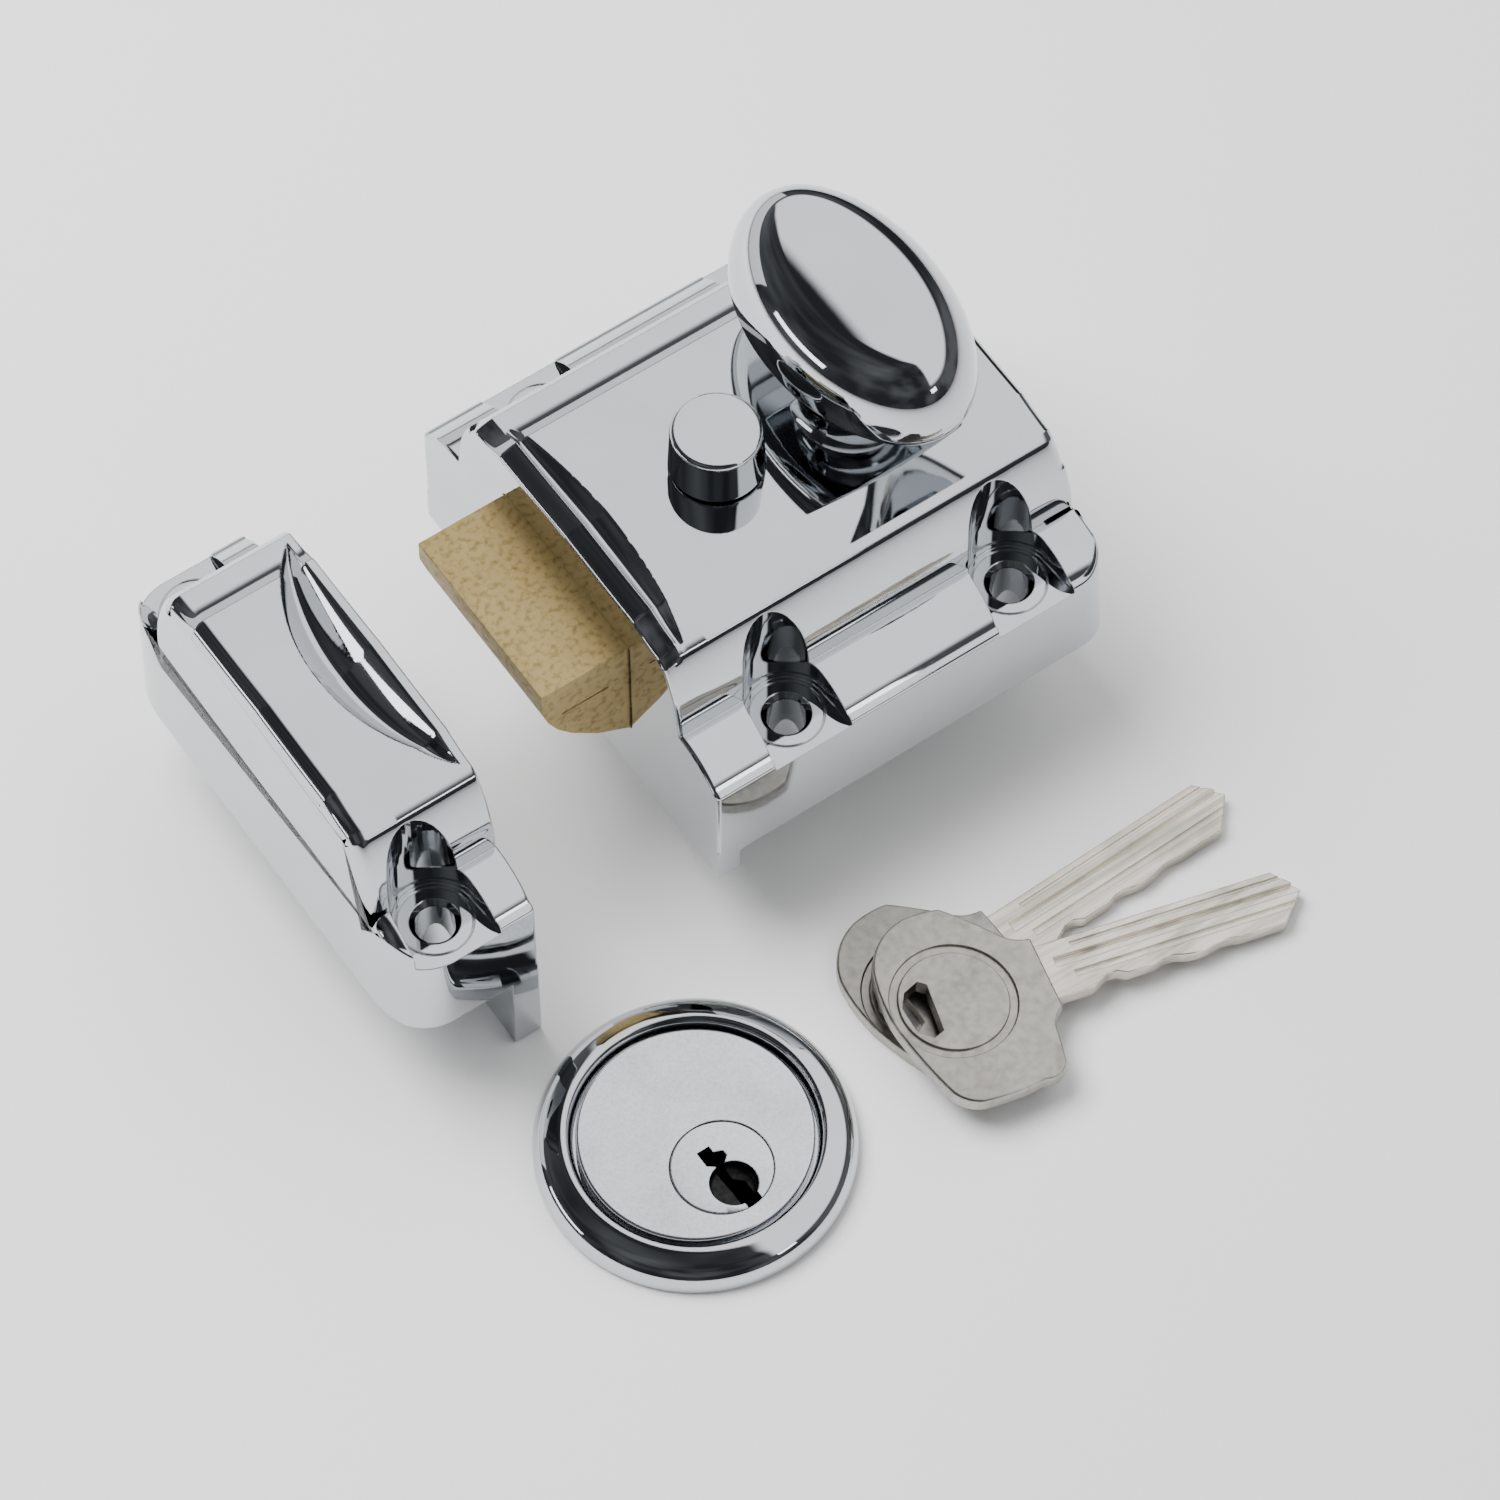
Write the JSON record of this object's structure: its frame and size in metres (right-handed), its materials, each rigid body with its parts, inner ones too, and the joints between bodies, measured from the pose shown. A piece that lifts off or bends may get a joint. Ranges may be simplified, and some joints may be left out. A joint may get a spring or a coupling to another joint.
{
  "type": "rim night latch",
  "caption": "Surface night latch with turn knob, sliding snib, sprung bolt, box staple, rim cylinder with ring, and two flat keys.",
  "frame": {"origin": "on the door face under the middle of the case's front edge", "axes": "+X runs back from the door's edge along the bolt, +Z stands off the door face, +Y runs up the door"},
  "size_m": [0.1115, 0.1137, 0.1416],
  "materials": {
    "case_chrome": "polished",
    "staple_chrome": "polished",
    "knob_chrome": "polished",
    "snib_chrome": "polished",
    "ring_chrome": "polished",
    "zinc_plate": "zinc plated",
    "zinc_screw": "zinc plated",
    "spring_steel": "drawn wire",
    "bolt_brass": "satin cast",
    "cylinder_brass": "turned",
    "satin_face": "satin plated",
    "steel_drive": "machined",
    "key_lower_nickel": "satin nickel silver",
    "key_upper_nickel": "satin nickel silver"
  },
  "bodies": {
    "case": {"case_shell": "case_chrome", "cap_plate": "zinc_plate", "cap_screws": "zinc_screw", "mounting_plate": "zinc_plate", "spring_bridge": "zinc_plate", "spring_guides": "zinc_screw", "latch_springs": "spring_steel"},
    "turn": {"knob": "knob_chrome", "spindle": "steel_drive", "follower_cam": "steel_drive", "follower_pin": "steel_drive", "knob_grub_screw": "steel_drive", "spindle_circlip": "spring_steel"},
    "bolt": {"latch_bolt": "bolt_brass"},
    "snib": {"snib_button": "snib_chrome", "snib_slide": "zinc_plate", "snib_rivet": "zinc_screw", "detent_ball": "spring_steel", "detent_spring": "spring_steel"},
    "keeper": {"staple": "staple_chrome"},
    "cylinder": {"rim_ring": "ring_chrome", "cylinder_body": "satin_face", "chamber_cover": "cylinder_brass", "driver_pins": "cylinder_brass", "pin_springs": "spring_steel"},
    "cylinder_plug": {"plug": "satin_face", "bottom_pins": "cylinder_brass", "plug_clip": "spring_steel", "tail_bar": "steel_drive", "tail_pin": "steel_drive"},
    "key_a": {"key_lower": "key_lower_nickel"},
    "key_b": {"key_upper": "key_upper_nickel"}
  },
  "joints": [
    {"name": "knob_turn", "type": "hinge", "parent": "case", "child": "turn", "pos_m": [0.0438, 0, 0], "axis": [0, 0, -1], "range_deg": [0, 80]},
    {"name": "latch_slide", "type": "slide", "parent": "case", "child": "bolt", "axis": [1, 0, 0], "range_m": [0, 0.0131], "deforming": ["latch_springs"]},
    {"name": "snib_slide", "type": "slide", "parent": "case", "child": "snib", "axis": [0, 1, 0], "range_m": [0, 0.004]},
    {"name": "staple_close", "type": "slide", "parent": "case", "child": "keeper", "axis": [1, 0, 0], "range_m": [0, 0.0272]},
    {"name": "cylinder_lift", "type": "slide", "parent": "case", "child": "cylinder", "axis": [0, 0, 1], "range_m": [0, 0.06]},
    {"name": "plug_turn", "type": "hinge", "parent": "cylinder", "child": "cylinder_plug", "pos_m": [-0.0211, -0.0651, 0], "axis": [0, 0, 1], "range_deg": [0, 90]},
    {"name": "key_lower_lift", "type": "slide", "parent": "case", "child": "key_a", "axis": [0, 0, 1], "range_m": [0, 0.05]},
    {"name": "key_upper_lift", "type": "slide", "parent": "key_a", "child": "key_b", "axis": [0, 0, 1], "range_m": [0, 0.05]}
  ],
  "couplings": [
    {"joint": "latch_slide", "follows": "knob_turn", "m_per_rad": 0.0093822}
  ]
}
